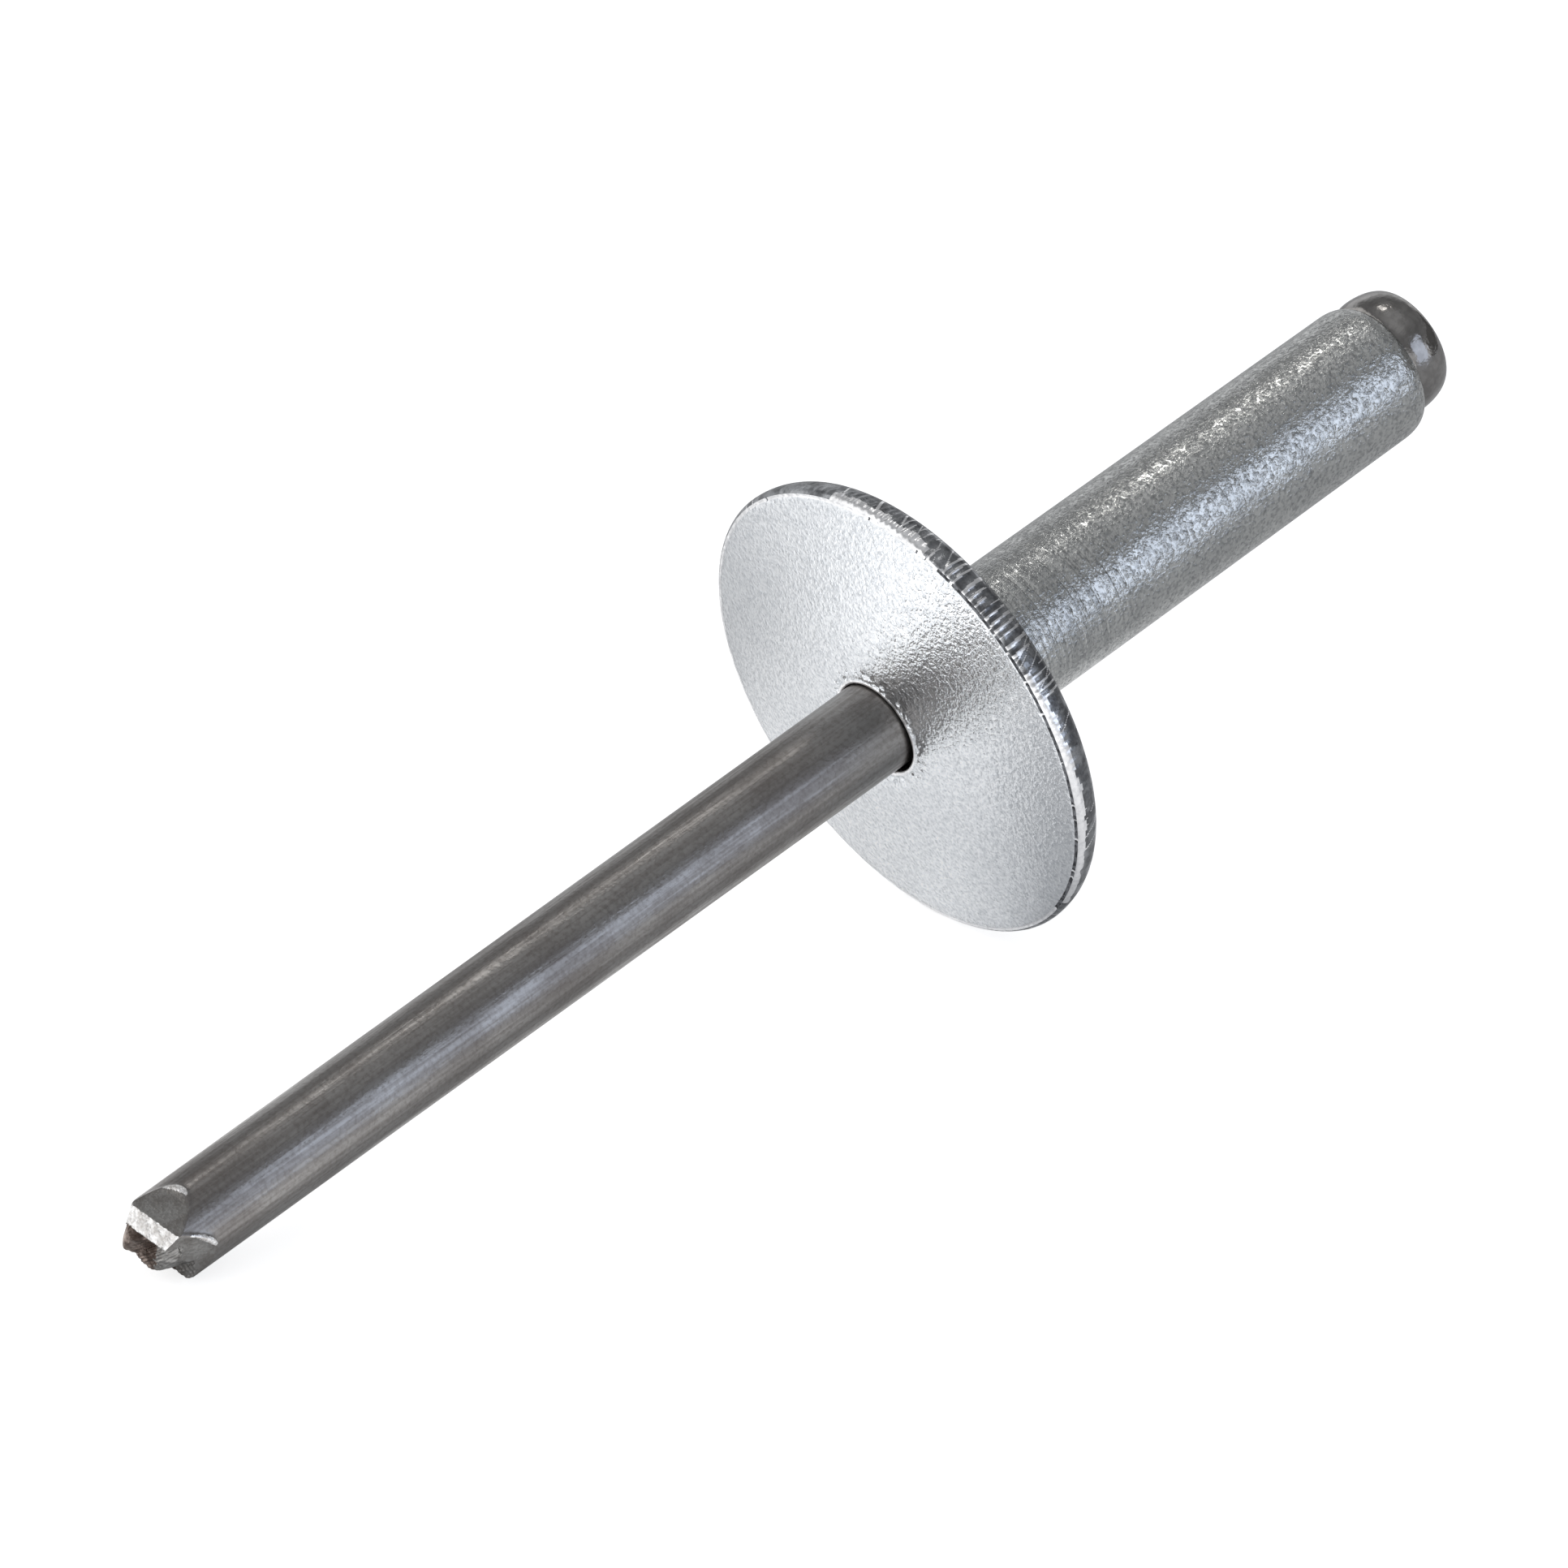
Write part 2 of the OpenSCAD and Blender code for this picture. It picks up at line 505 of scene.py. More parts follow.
# Carbon steel, cold drawn to wire: long draw lines that follow the wire, grey with a brownish film. Real
# draw lines are a few hundredths of a millimetre apart, and are drawn at 0.06 mm so that they show.
DRAWN_STEEL = MetalFinish(
    "drawn_steel",
    "#9b9997",
    "#5a524d",
    0.28,
    (
        Marks(1.5, tint=0.3, rough=0.06, detail=3.0, seed=9.0),
        Marks(0.06, lay=Lay.ALONG_AXIS, depth_um=1.5, tint=0.3, rough=0.1, seed=23.0),
        Marks(0.07, tint=0.3, depth_um=3.0, band=(0.4, 0.7), seed=25.0),
    ),
)

# Carbon steel, upset cold into a head: smooth dark metal with a die polish.
UPSET_STEEL = MetalFinish(
    "upset_steel",
    "#9c9a98",
    "#403c3a",
    0.13,
    (
        Marks(0.6, tint=0.25, rough=0.08, detail=3.0, seed=29.0),
        Marks(0.12, depth_um=4.0, tint=0.2, seed=31.0),
    ),
)

# Carbon steel, pinched between jaws until it parts: flat pressed faces, a little brighter than the wire.
PINCHED_STEEL = MetalFinish(
    "pinched_steel",
    "#a2a19f",
    "#5a544f",
    0.3,
    (
        Marks(0.4, tint=0.5, rough=0.12, detail=3.0, seed=37.0),
        Marks(0.05, depth_um=4.0, tint=0.3, seed=41.0),
    ),
)

# Carbon steel, torn: a rough bright grain where the wire parted; also laid on the lips over the upper facets as a
# painted highlight.
TORN_STEEL_AND_LIP_HIGHLIGHT = MetalFinish(
    "torn_steel_and_lip_highlight",
    "#ffffff",
    "#a39b93",
    0.34,
    (
        Marks(0.2, depth_um=12.0, tint=0.4, rough=0.15, detail=3.0, seed=43.0),
        Marks(0.05, depth_um=8.0, tint=0.4, seed=47.0),
    ),
)

# Carbon steel, sheared at the end of the tip: a brownish, blotchy break.
SHEARED_STEEL = MetalFinish(
    "sheared_steel",
    "#9a8c84",
    "#33261f",
    0.42,
    (
        Marks(0.18, depth_um=22.0, tint=0.8, rough=0.15, detail=3.0, seed=61.0),
        Marks(0.05, depth_um=8.0, tint=0.4, seed=63.0),
    ),
)


# ---------------------------------------------------------------- meshes


def grid_faces(rows: int, cols: int, first: int = 0) -> np.ndarray:
    """Quads of a grid of points that closes on itself across its columns.

    Args:
        rows: Number of rows of points.
        cols: Number of points in a row.
        first: Number of the grid's first point.

    Returns:
        An (n, 4) array of point numbers.
    """
    low, col = np.arange(rows - 1)[:, None] * cols, np.arange(cols)[None, :]
    high, on = low + cols, (col + 1) % cols
    return np.stack([low + col, high + col, high + on, low + on], -1).reshape(-1, 4) + first


def make_piece(
    name: str, points: np.ndarray, faces: list, zones: np.ndarray, materials: list[bpy.types.Material]
) -> bpy.types.Object:
    """Makes a smooth mesh object.

    Args:
        name: Name of the piece.
        points: Its points in the part's frame, in metres.
        faces: Its faces, as lists of point numbers.
        zones: For each face, the number of its material.
        materials: The materials by number.

    Returns:
        The new object, linked to the scene.
    """
    mesh = bpy.data.meshes.new(name)
    mesh.from_pydata(points.tolist(), [], faces)
    for made in materials:
        mesh.materials.append(made)
    mesh.polygons.foreach_set("material_index", zones.astype(np.int32))
    mesh.polygons.foreach_set("use_smooth", np.ones(len(faces), dtype=bool))
    mesh.update()
    mesh.validate()
    piece = bpy.data.objects.new(name, mesh)
    bpy.context.scene.collection.objects.link(piece)
    return piece


class BodyZone(IntEnum):
    """Parts of the body's surface, numbered as their finishes are."""

    FACE = 0
    RUBBED = 1
    DRAWN = 2
    CRACK_SHADE = 3
    RIM_PAINTED_DARK = 4


@dataclass
class RivetBody:
    """The aluminium body: hollow shank and wide domed flange, formed from one slug.

    Attributes:
        s: Sizes of the rivet.
        stance: How it lies.
        segments: Number of segments round the flange.
        share: How many of them meet one segment of the shank.
        dome_stops: Places of the rows over the domed face, from the bore at 0 to its edge at 1.
        crack_from: Place on that scale at which the crack along the face's edge starts.
        crack_turns: Where round the axis the crack starts, has opened fully and ends, 0 to 1.
        hairline_from: Where round the axis its first broken traces show.
        fold_turn: Where round the axis the folds of the rim are deepest and their crests keep bright metal as painted
            highlights.
        highlight_band_turns: Where round the axis a band of bright metal runs beside the face, as a painted
            highlight.
        highlight_patch_turns: Where round the axis a patch of bright metal lies beside the face, as a painted
            highlight.
        wrinkle_mm: Spacing of the forming wrinkles round the rim.
        wrinkle_depth: Depth of the deepest wrinkles, in millimetres.
        scratch_depth: Depth of the scratches on the rim, in millimetres.
        crack_depth: Depth of the crack, in millimetres.
        nick_depth: Depth of the nicks round the bore, in millimetres.
        ring_depth: Depth of the two rings that the tool pressed round the bore, in millimetres.
    """

    s: Sizes
    stance: Stance
    segments: int = 1400
    share: int = 5
    dome_stops: tuple[float, ...] = (
        0.008, 0.016, 0.024, 0.032, 0.04, 0.05, 0.062, 0.08, 0.12, 0.2, 0.34,
        0.5, 0.66, 0.8, 0.9, 0.955, 0.98, 0.985, 0.99, 0.995, 1.0,
    )
    crack_from: float = 0.985
    crack_turns: tuple[float, float, float] = (0.53, 0.6, 0.86)
    hairline_from: float = 0.4
    fold_turn: float = 0.605
    highlight_band_turns: tuple[float, float] = (0.655, 0.85)
    highlight_patch_turns: tuple[float, float] = (0.47, 0.555)
    wrinkle_mm: float = 0.29
    wrinkle_depth: float = 0.05
    scratch_depth: float = 0.05
    crack_depth: float = 0.06
    nick_depth: float = 0.09
    ring_depth: float = 0.035

    def profile(self) -> list:
        """Closed half section, from the mouth over the flange and shank to the bore.

        Returns:
            The section as (r, z, zone) rows in order.
        """
        s = self.s
        mouth = arc((s.mouth_r, s.mouth_round_r - s.flange_h), (s.mouth_round_r,) * 2, 180, 270, 5)
        rise = s.flange_h - s.rim_h
        edge_h = ((s.face_edge_r**2 - s.mouth_r**2) / rise - rise) / 2
        dome_r = math.hypot(edge_h, s.face_edge_r)
        dome = []
        for t in self.dome_stops:
            r = s.mouth_r + (s.face_edge_r - s.mouth_r) * t
            zone = BodyZone.CRACK_SHADE if t > self.crack_from else BodyZone.FACE
            dome.append((r, edge_h - s.rim_h - math.sqrt(dome_r**2 - r**2), zone))
        front = arc(s.rim_mid, (s.rim_front_r,) * 2, -s.rim_front_turn, 0, 12)[1:]
        back = arc((s.flange_r - s.rim_back_w, s.rim_mid[1]), (s.rim_back_w, -s.rim_mid[1]), 0, 90, 18)[1:]
        root = arc((s.shank_r + s.root_r, s.root_r), (s.root_r, s.root_r), 270, 180, 6)
        seat = [(r, 0.0) for r in np.linspace(back[-1][0], root[0][0], 5)[1:-1]]
        tail_z = s.shank_l - s.tail_round_l
        tube = []
        for z in np.linspace(root[-1][1], tail_z, 24)[1:-1]:
            drawn = max(0.0, (z - s.straight_l) / (tail_z - s.straight_l))
            tube.append((s.shank_r + (s.tail_r - s.shank_r) * drawn, z))
        tail = arc((s.tail_r - s.tail_round_w, tail_z), (s.tail_round_w, s.tail_round_l), 0, 90, 10)
        broken_z = s.shank_l - s.tail_break
        tail += [(s.bore_r + s.tail_break, s.shank_l), (s.bore_r, broken_z)]
        bore = [(s.bore_r, z) for z in np.linspace(broken_z, s.mouth_round_r - s.flange_h, 6)[1:-1]]
        rows = [(r, z, BodyZone.RUBBED) for r, z in mouth] + dome
        rows += [(r, z, BodyZone.RUBBED) for r, z in front + back]
        return rows + [(r, z, BodyZone.DRAWN) for r, z in seat + root + tube + tail + bore]

    def build(self) -> bpy.types.Object:
        """Meshes the body and gives its zones their finishes.

        Returns:
            The body as a Blender object.
        """
        rows = self.profile()
        r = np.array([row[0] for row in rows])[:, None]
        z = np.array([row[1] for row in rows])[:, None]
        zone = np.array([row[2] for row in rows])
        out = self.outward(r[:, 0], z[:, 0])
        first, spokes = int(np.argmax(zone == BodyZone.DRAWN)), self.segments // self.share
        points, faces, zones = [], [], []
        for low, high, count in ((0, first, self.segments), (first, len(rows), spokes)):
            turn = np.arange(count)[None, :] / count
            depth = self.dents(r[low:high], z[low:high], turn)
            rr, zz = r[low:high] - depth * out[low:high, :1], z[low:high] - depth * out[low:high, 1:]
            rings = np.stack([rr * np.cos(turn * TURN), rr * np.sin(turn * TURN), zz + 0 * turn], -1)
            points.append(rings.reshape(-1, 3))
            faces += grid_faces(high - low, count, len(points[0]) * (low > 0)).tolist()
            part = zone[low:high]
            zones.append(np.repeat(np.where(part > 0, part, np.roll(part, -1))[:-1], count))
        zones[0] = self.dress(r[:first], z[:first], zones[0].reshape(-1, self.segments)).ravel()
        coarse = len(points[0])
        last = coarse + (len(rows) - first - 1) * spokes
        stitches = self.stitch((first - 1) * self.segments, coarse, False) + self.stitch(0, last, True)
        zones.append(np.full(len(stitches), BodyZone.DRAWN))
        used = (FROSTED_ALUMINIUM, BURNISHED_ALUMINIUM, DRAWN_ALUMINIUM, CRACK_PAINTED_SHADE, RIM_PAINTED_DARK_ALUMINIUM)
        finishes = [finish.material(self.stance) for finish in used]
        laid = self.stance.lay(np.concatenate(points))
        return make_piece("rivet_body_dressed", laid, faces + stitches, np.concatenate(zones), finishes)

    def dress(self, r: np.ndarray, z: np.ndarray, zones: np.ndarray) -> np.ndarray:
        """Chooses where the flange's crack is open, with painted shade in it, and which parts of its rim keep bright
        metal while the rest is painted dark as a dark reflection.

        Args:
            r: Radii of the flange's rows, as a column.
            z: Heights of the flange's rows, as a column.
            zones: Zone of each face between them, rows by places round.

        Returns:
            The zones that show, in the same shape.
        """
        turn = np.arange(self.segments)[None, :] / self.segments
        cracked = zones == BodyZone.CRACK_SHADE
        chips = ripple(turn, 0 * turn, (420, 1), 9)
        start, full, end = self.crack_turns
        split = (turn > start) & (turn < end) & (chips > 1.9 * np.clip((full - turn) / (full - start), 0, 1) - 0.8)
        traces = (turn > self.hairline_from) & (turn <= start)
        traces = traces & (chips + ripple(turn, 0 * turn, (40, 1), 10) > 1.0)
        # Only the open stretches of the crack keep its dark finish, the painted shade in the groove; the rest turns
        # bright.
        zones = np.where(cracked & ~(split | traces), BodyZone.RUBBED, zones)
        across = np.clip(((z[:-1] + z[1:]) / 2 + self.s.rim_h) / self.s.rim_h, 0, 1)
        on_rim = r[:-1] > self.s.mouth_r + 1
        # The rest of the rim is painted dark, a painted dark reflection.
        painted_dark_rim = (zones == BodyZone.RUBBED) & ~cracked & on_rim & ~self.highlights_and_rubs(turn, across)
        return np.where(painted_dark_rim, BodyZone.RIM_PAINTED_DARK, zones)

    def ribs(self, turn: np.ndarray, across: np.ndarray) -> np.ndarray:
        """Height of the crests that the metal folded into as the rim was formed.

        Args:
            turn: Places round the axis, 0 to 1.
            across: Places across the rim, 0 at the face and 1 at the seat.

        Returns:
            Heights from 0 to 1.
        """
        count = int(TURN * self.s.flange_r / self.wrinkle_mm)
        phase = turn * count + 0.45 * ripple(turn, 0 * across, (count // 2, 1), 5) + 0.25 * across
        return (0.5 + 0.5 * np.cos(TURN * phase)) * (0.7 + 0.3 * ripple(turn, across, (count, 1), 6))

    def highlights_and_rubs(self, turn: np.ndarray, across: np.ndarray) -> np.ndarray:
        """Where the rim keeps bright metal among the painted dark: the crests of the folds, rubbed bright and painted
        as highlights, a band and a patch beside the face as painted highlights, and some rubbed scratches.

        Args:
            turn: Places round the axis, 0 to 1, as a row.
            across: Places across the rim, 0 at the face and 1 at the seat, as a column.

        Returns:
            True where the rim is bright.
        """
        jag = ripple(turn, across, (170, 2), 21)
        folded = bell(turn, self.fold_turn, 0.115) + 0.25 * ripple(turn, 0 * across, (60, 1), 24) > 0.4
        # Crests of the folds, a band and a patch beside the face keep bright metal as painted highlights; the
        # scratches are rubbed bright.
        crests = folded & (self.ribs(turn, across) > 0.6) & (across < 0.85)
        wide = 0.13 + 0.15 * bell(turn, 0.73, 0.13)
        band = (turn > self.highlight_band_turns[0]) & (turn < self.highlight_band_turns[1]) & (across < wide + 0.1 * jag)
        patch = (turn > self.highlight_patch_turns[0]) & (turn < self.highlight_patch_turns[1]) & (across < 0.34 + 0.14 * jag)
        rubs = ripple(turn + 0.012 * across, 0 * across, (520, 1), 22) > 0.86
        return crests | band | patch | rubs

    def stitch(self, fine: int, coarse: int, flip: bool) -> list:
        """Faces that join a row of the flange to a row of the shank, which has fewer points.

        Args:
            fine: Number of the first point of the flange's row.
            coarse: Number of the first point of the shank's row.
            flip: Whether the faces are turned over.

        Returns:
            The faces, as lists of point numbers.
        """
        count, made = self.segments // self.share, []
        for k in range(count):
            edge = [fine + (k * self.share + i) % self.segments for i in range(self.share + 1)]
            face = [coarse + k, coarse + (k + 1) % count] + edge[::-1]
            made.append(face[::-1] if flip else face)
        return made

    @staticmethod
    def outward(r: np.ndarray, z: np.ndarray) -> np.ndarray:
        """Outward normals of the closed section.

        Args:
            r: Radii of the section's points.
            z: Heights of the section's points.

        Returns:
            An (n, 2) array of unit (r, z) normals.
        """
        along = np.stack([np.roll(r, -1) - np.roll(r, 1), np.roll(z, -1) - np.roll(z, 1)], -1)
        normal = np.stack([along[:, 1], -along[:, 0]], -1)
        return normal / np.maximum(np.linalg.norm(normal, axis=1, keepdims=True), 1e-9)

    def dents(self, r: np.ndarray, z: np.ndarray, turn: np.ndarray) -> np.ndarray:
        """Depth by which the real surface lies below the drawn one.

        Args:
            r: Radii of the rows, as a column.
            z: Heights of the rows, as a column.
            turn: Places round the axis, 0 to 1, as a row.

        Returns:
            Depths in millimetres, rows by places round.
        """
        s = self.s
        on_rim = (r > s.face_edge_r - 0.02) & (z < -0.02)
        across = np.clip((z + s.rim_h) / s.rim_h, 0, 1)
        amount = np.clip(0.1 + 0.15 * ripple(turn, 0 * across, (14, 1), 8) + bell(turn, 0.585, 0.16), 0.05, 1)
        scratches = np.clip(ripple(turn, across, (386, 4), 7) - 0.55, 0, 1)
        wrinkles = self.wrinkle_depth * amount * (1 - self.ribs(turn, across)) * bell(across, 0.35, 0.7)
        depth = np.where(on_rim, wrinkles + self.scratch_depth * scratches * bell(across, 0.5, 0.7), 0.0)
        crack = bell(r, s.face_edge_r - 0.045, 0.08) * (z < -s.rim_h * 0.9)
        depth = depth + crack * self.crack_depth * (0.65 + 0.35 * ripple(turn, 0 * r, (300, 1), 9))
        nicks = np.clip(ripple(turn, (r - s.mouth_r) / 0.5, (80, 3), 14), 0, 1)
        rings = bell(r, s.mouth_r + 0.1, 0.08) + 0.7 * bell(r, s.mouth_r + 0.34, 0.12) * (nicks > 0.2)
        nicks = nicks * bell(r, s.mouth_r + 0.2, 0.3)
        return depth + (self.ring_depth * rings + self.nick_depth * nicks) * (z < -s.rim_h)


class WireZone(IntEnum):
    """Parts of the mandrel's surface, numbered as their finishes are."""

    WIRE = 0
    HEAD = 1
    PINCHED = 2
    TORN_AND_LIP_HIGHLIGHT = 3
    SHEARED = 4


@dataclass
class Mandrel:
    """The steel mandrel: drawn wire with an upset head, a break notch and a pinched, torn tip.

    Attributes:
        s: Sizes of the rivet.
        stance: How it lies.
        segments: Number of segments round the wire.
        blend: Rounding of the edges between the round wire and the facets, in millimetres.
        jaw_span: Heights between which feeding jaws have marked one side of the wire.
        jaw_turn: Where round the wire those marks lie, 0 to 1.
        jaw_depth: Depth of those marks, in millimetres.
        lip_h: Height of the lips over the two upper facets, in millimetres.
        lip_leans: For each of those facets by number, where its lip is highest, in radians from its middle.
        strip_h: Height over the end at which the bright torn strip leaves the upper facet, in millimetres.
        strip_low: Distance from the middle at which the strip stops, in millimetres.
        break_h: Height over the end at which the wire broke in its middle, in millimetres.
        lobe_turn: Direction of the lobe that stays on the end, in degrees from straight down.
        lobe_h: Height of the lobe over the end, in millimetres.
        corner_turn: Direction of the corner that tore off furthest, in degrees from straight down.
        corner_h: How much further it tore off, in millimetres.
        rounding_h: How much the end is rounded off all round, in millimetres.
    """

    s: Sizes
    stance: Stance
    segments: int = 288
    blend: float = 0.016
    jaw_span: tuple[float, float] = (-11.2, -15.8)
    jaw_turn: float = 0.61
    jaw_depth: float = 0.03
    lip_h: float = 0.07
    lip_leans: tuple[tuple[int, float], ...] = ((2, -0.12), (3, -0.42))
    strip_h: float = 0.87
    strip_low: float = 0.6
    break_h: float = 0.48
    lobe_turn: float = 136.0
    lobe_h: float = 0.13
    corner_turn: float = 326.0
    corner_h: float = 0.34
    rounding_h: float = 0.22

    def side(self, turn: np.ndarray, z: np.ndarray) -> np.ndarray:
        """Radius of the wire's side surface.

        Args:
            turn: Angles round the wire, in radians.
            z: Heights.

        Returns:
            Radii in millimetres.
        """
        s = self.s
        slope = math.tan(math.radians(s.pinch_angle))
        radius = s.wire_r + 0 * turn + 0 * z
        for k in range(4):
            facing = np.cos(turn - math.radians(s.pinch_turn + 90 * k))
            limit = (s.pinch_end_r + (z - s.tip_z) * slope) / np.maximum(facing, 0.05)
            radius = self.soft_min(radius, np.minimum(limit, 9.0))
        return radius + self.lip_h * self.lips(turn, z)

    def lips(self, turn: np.ndarray, z: np.ndarray) -> np.ndarray:
        """Lips that the jaws push up over the two upper facets.

        Args:
            turn: Angles round the wire, in radians.
            z: Heights.

        Returns:
            How high the lips stand, 0 to 1.
        """
        s = self.s
        lips = 0 * turn + 0 * z
        for k, lean in self.lip_leans:
            away = np.angle(np.exp(1j * (turn - math.radians(s.pinch_turn + 90 * k))))
            rise = (s.wire_r * np.cos(away) - s.pinch_end_r) / math.tan(math.radians(s.pinch_angle))
            lips = lips + bell(away, lean, 0.55) * bell(z, s.tip_z + rise + 0.06, 0.26)
        return lips

    def jaw_marks(self, turn: np.ndarray, z: float) -> np.ndarray:
        """Depth of the small cross nicks that feeding jaws leave on one side of the wire.

        Args:
            turn: Angles round the wire, in radians.
            z: Height.

        Returns:
            Depths in millimetres.
        """
        along = (self.jaw_span[0] - z) / (self.jaw_span[0] - self.jaw_span[1])
        if not 0 < along < 1:
            return 0 * turn
        nick = max(0.0, math.sin(TURN * along * 15)) * (0.6 + 0.4 * math.sin(along * 47))
        across = bell(turn / TURN, self.jaw_turn + 0.01 * math.sin(along * 9), 0.05)
        return self.jaw_depth * nick * across * math.sin(math.pi * along)

    def soft_min(self, a: np.ndarray, b: np.ndarray) -> np.ndarray:
        """The smaller of two radii, with the edge between them rounded inwards."""
        h = np.maximum(self.blend - np.abs(a - b), 0) / self.blend
        return np.minimum(a, b) - h * h * self.blend * 0.25

    def end(self, x: np.ndarray, y: np.ndarray) -> np.ndarray:
        """Height of the torn end over a point of the cross-section.

        Args:
            x: Place across the wire.
            y: Place across the wire.

        Returns:
            Heights in millimetres.
        """
        s = self.s
        up, lobe = self.torn_places(x, y)
        rough = 0.025 * np.sin(21 * x + 3) * np.sin(17 * y + 1) + 0.012 * np.sin(47 * x - 29 * y)
        broken = (self.break_h + 0.16 * np.clip(up / 0.55, 0, 1) + rough) * (1 - lobe) + self.lobe_h * lobe
        broken = broken + self.rounding_h * np.clip((np.hypot(x, y) - 0.6) / 0.3, 0, 1.3) ** 2
        corner = self.towards(x, y, self.corner_turn)
        broken = broken + self.corner_h * np.clip((corner - 0.62) / 0.3, 0, 1.2) ** 2
        torn_r = s.pinch_end_r + self.strip_h * math.tan(math.radians(s.pinch_angle))
        strip = self.strip_h + (up - torn_r) / math.tan(math.radians(s.torn_angle)) + 0.3 * rough
        return s.tip_z + np.where(up > self.strip_low, strip, broken)

    def torn_places(self, x: np.ndarray, y: np.ndarray) -> tuple[np.ndarray, np.ndarray]:
        """Where a point of the cross-section lies in the torn end.

        Args:
            x: Place across the wire.
            y: Place across the wire.

        Returns:
            The distance towards the upper facet, and how far the point belongs to the lobe that stays on.
        """
        beside = np.clip((self.towards(x, y, self.lobe_turn) - 0.12) / 0.4, 0, 1)
        return self.towards(x, y, self.s.pinch_turn + 180), beside * beside * (3 - 2 * beside)

    @staticmethod
    def towards(x: np.ndarray, y: np.ndarray, turn: float) -> np.ndarray:
        """How far a point lies towards a direction, given in degrees from straight down."""
        return x * math.cos(math.radians(turn)) + y * math.sin(math.radians(turn))

    @staticmethod
    def ring(turn: np.ndarray, r: np.ndarray | float, z: np.ndarray | float, mid: tuple = (0.0, 0.0)) -> np.ndarray:
        """One ring of points at the angles turn, about the place mid."""
        return np.stack([r * np.cos(turn) + mid[0], r * np.sin(turn) + mid[1], z + 0 * turn], -1)

    def head(self, turn: np.ndarray) -> list:
        """The upset head, from near the middle of its end to its bearing face.

        Args:
            turn: Angles of the points of a ring, in radians.

        Returns:
            Rings of points, each with the zone of its points.
        """
        s = self.s
        end_z, waist_z = s.shank_l + s.head_h, s.shank_l + s.head_waist_h
        rows = [(s.head_end_r * t, end_z + s.head_crown_h * (1 - t * t)) for t in (0.2, 0.4, 0.6, 0.8, 0.93)]
        rows += arc((s.head_end_r, waist_z), (s.head_r - s.head_end_r, s.head_h - s.head_waist_h), 90, 0, 16)
        rows += arc((s.bearing_r, waist_z), (s.head_r - s.bearing_r, s.head_waist_h), 0, -90, 8)[1:]
        return [(self.ring(turn, r, z, s.head_mid), np.full(len(turn), WireZone.HEAD)) for r, z in rows]

    def stem(self, turn: np.ndarray, start: float) -> list:
        """The wire, from the head through the break notch to where the tip starts.

        Args:
            turn: Angles of the points of a ring, in radians.
            start: Height at which the tip starts.

        Returns:
            Rings of points, each with the zone of its points.
        """
        s = self.s
        rings = [self.ring(turn, s.wire_r, z) for z in (s.shank_l, s.shank_l - 0.4, s.shank_l - 0.8, s.shank_l - 1.2)]
        notch_z, open_h = s.shank_l - s.notch_at, s.notch_depth * math.tan(math.radians(s.notch_angle / 2))
        for step in np.linspace(-1.3, 1.3, 14):
            limit = s.wire_r - s.notch_depth + abs(step) * s.notch_depth
            r = np.minimum(s.wire_r, limit / np.maximum(np.abs(np.cos(turn)), 0.05))
            rings.append(self.ring(turn, r, notch_z - step * open_h))
        marked = np.arange(self.jaw_span[0], self.jaw_span[1], -0.07)
        plain = np.linspace(notch_z - 1.4 * open_h - 0.3, start, 56)[:-1]
        clear = (plain > marked[0] + 0.1) | (plain < marked[-1] - 0.1)
        for z in np.sort(np.concatenate([plain[clear], marked]))[::-1]:
            rings.append(self.ring(turn, s.wire_r - self.jaw_marks(turn, z), z))
        return [(points, np.full(len(turn), WireZone.WIRE)) for points in rings]

    def tip(self, turn: np.ndarray, start: float) -> list:
        """The pinched tip and its torn end, from the round wire to near the middle of the end.

        Args:
            turn: Angles of the points of a ring, in radians.
            start: Height at which the tip starts.

        Returns:
            Rings of points, each with the zones of its points.
        """
        s, rings = self.s, []
        low, high = s.tip_z + 0 * turn - 0.5, start + 0 * turn
        for _ in range(40):
            mid = (low + high) / 2
            r = self.side(turn, mid)
            above = mid > self.end(r * np.cos(turn), r * np.sin(turn))
            high, low = np.where(above, mid, high), np.where(above, low, mid)
        for t in np.linspace(0, 1, 90):
            z = start + (high - start) * t
            r = self.side(turn, z)
            pinched = (r < s.wire_r - 0.006) & (z < s.pinch_start_z + 0.3)
            # The lips take the torn grain's white finish as a painted highlight.
            lip_highlight = np.where(self.lips(turn, z) > 0.5, WireZone.TORN_AND_LIP_HIGHLIGHT, WireZone.WIRE)
            rings.append((self.ring(turn, r, z), np.where(pinched, WireZone.PINCHED, lip_highlight)))
        end_r = self.side(turn, high)
        for t in np.linspace(1, 0, 48)[1:-1]:
            x, y = end_r * t * np.cos(turn), end_r * t * np.sin(turn)
            right = self.towards(x, y, s.pinch_turn + 270) > 0.36 + 0.05 * np.sin(23 * x) + 0.04 * np.sin(31 * y)
            below = np.where(right, WireZone.PINCHED, WireZone.SHEARED)
            zones = np.where(self.torn_places(x, y)[0] > self.strip_low, WireZone.TORN_AND_LIP_HIGHLIGHT, below)
            rings.append((np.stack([x, y, self.end(x, y)], -1), zones))
        return rings

